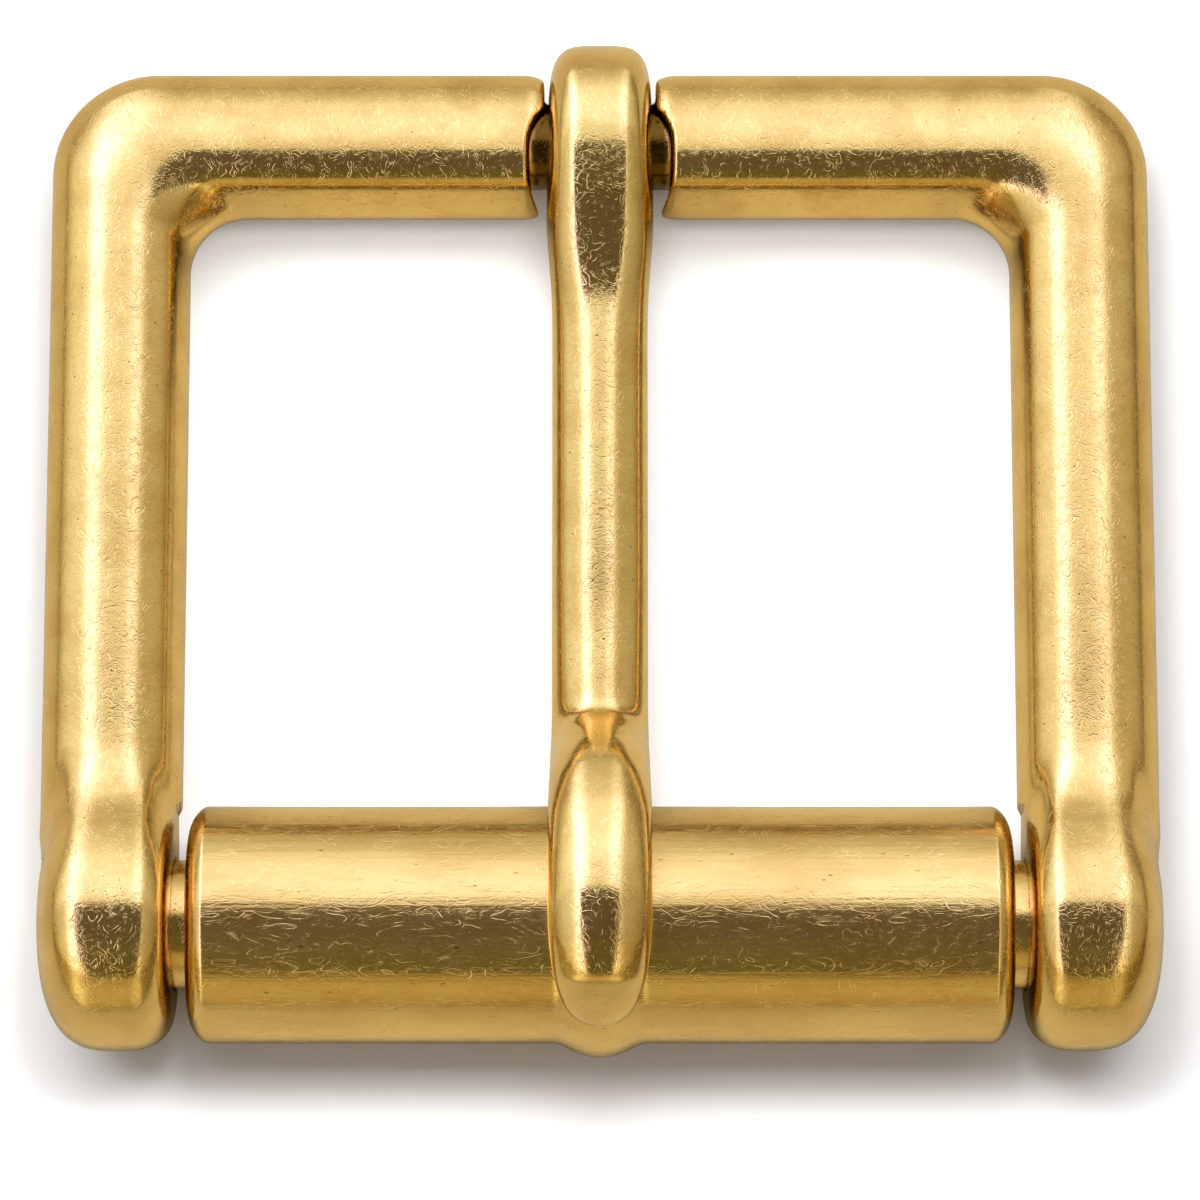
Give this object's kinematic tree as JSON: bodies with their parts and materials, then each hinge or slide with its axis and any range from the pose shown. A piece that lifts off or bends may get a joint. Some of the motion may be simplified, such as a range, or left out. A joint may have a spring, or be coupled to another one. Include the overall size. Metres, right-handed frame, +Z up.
{
  "type": "roller buckle",
  "caption": "Heavy solid brass roller buckle for a wide strap: a U-shaped frame, a free roller on a riveted pin and a swinging tongue.",
  "frame": {"origin": "on the table, under the middle of the whole buckle", "axes": "+X across the strap, +Y from the roller towards the strap bar, +Z up out of the table, towards the buckle's front"},
  "size_m": [0.0542, 0.0504, 0.0155],
  "materials": {
    "frame": "polished cast brass with fine hairline scratches",
    "pin": "turned brass rod",
    "roller": "turned and brushed brass",
    "tongue": "polished cast brass with fine hairline scratches"
  },
  "bodies": {
    "frame": {"frame": "frame", "pin": "pin"},
    "roller": {"roller": "roller"},
    "tongue": {"tongue": "tongue"}
  },
  "joints": [
    {"name": "tongue_swing", "type": "hinge", "parent": "frame", "child": "tongue", "pos_m": [0, 0.02018, 0.0051], "axis": [-1, 0, 0], "range_deg": [0, 170]},
    {"name": "roller_spin", "type": "hinge", "parent": "frame", "child": "roller", "pos_m": [0, -0.01882, 0.00646], "axis": [1, 0, 0], "continuous": true}
  ]
}
